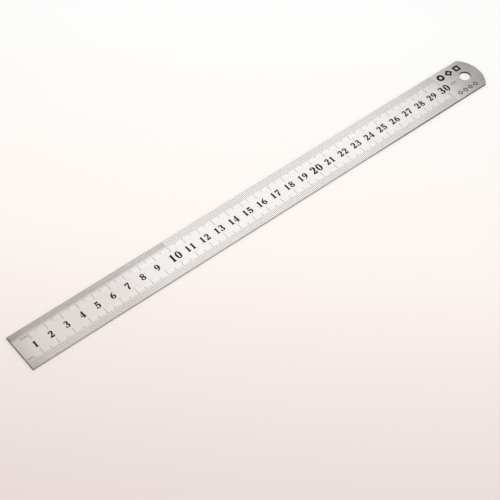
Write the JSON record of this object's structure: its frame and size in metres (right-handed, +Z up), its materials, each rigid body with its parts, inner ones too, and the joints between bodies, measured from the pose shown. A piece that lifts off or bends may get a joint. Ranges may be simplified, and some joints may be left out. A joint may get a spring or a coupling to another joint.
{
  "type": "steel ruler",
  "caption": "Flat steel ruler with a square zero end, a round end with a hanging hole, and paint-filled etched centimetre numerals.",
  "frame": {"origin": "centre of the bounding box's bottom face, in the middle of the underside", "axes": "+X along the scale from the square zero end to the round end, +Y across the strip towards the edge with the half-millimetre scale, +Z up out of the marked face"},
  "size_m": [0.3274, 0.025, 0.001],
  "materials": {
    "steel": "satin stainless steel, fine grain along the length",
    "black_paint": "dried black marking paint in the etched recesses",
    "grey_paint": "thin dark grey marking paint in the etched recesses"
  },
  "bodies": {
    "root": {"blade": "steel", "numeral_01": "black_paint", "numeral_02": "black_paint", "numeral_03": "black_paint", "numeral_04": "black_paint", "numeral_05": "black_paint", "numeral_06": "black_paint", "numeral_07": "black_paint", "numeral_08": "black_paint", "numeral_09": "black_paint", "numeral_10_tens": "black_paint", "numeral_10_units": "black_paint", "numeral_11_tens": "black_paint", "numeral_11_units": "black_paint", "numeral_12_tens": "black_paint", "numeral_12_units": "black_paint", "numeral_13_tens": "black_paint", "numeral_13_units": "black_paint", "numeral_14_tens": "black_paint", "numeral_14_units": "black_paint", "numeral_15_tens": "black_paint", "numeral_15_units": "black_paint", "numeral_16_tens": "black_paint", "numeral_16_units": "black_paint", "numeral_17_tens": "black_paint", "numeral_17_units": "black_paint", "numeral_18_tens": "black_paint", "numeral_18_units": "black_paint", "numeral_19_tens": "black_paint", "numeral_19_units": "black_paint", "numeral_20_tens": "black_paint", "numeral_20_units": "black_paint", "numeral_21_tens": "black_paint", "numeral_21_units": "black_paint", "numeral_22_tens": "black_paint", "numeral_22_units": "black_paint", "numeral_23_tens": "black_paint", "numeral_23_units": "black_paint", "numeral_24_tens": "black_paint", "numeral_24_units": "black_paint", "numeral_25_tens": "black_paint", "numeral_25_units": "black_paint", "numeral_26_tens": "black_paint", "numeral_26_units": "black_paint", "numeral_27_tens": "black_paint", "numeral_27_units": "black_paint", "numeral_28_tens": "black_paint", "numeral_28_units": "black_paint", "numeral_29_tens": "black_paint", "numeral_29_units": "black_paint", "numeral_30_tens": "black_paint", "numeral_30_units": "black_paint", "ornament_ring": "black_paint", "ornament_diamond": "black_paint", "ornament_square": "black_paint", "lozenge_1": "grey_paint", "lozenge_2": "grey_paint", "lozenge_3": "grey_paint", "lozenge_4": "grey_paint"}
  },
  "joints": []
}
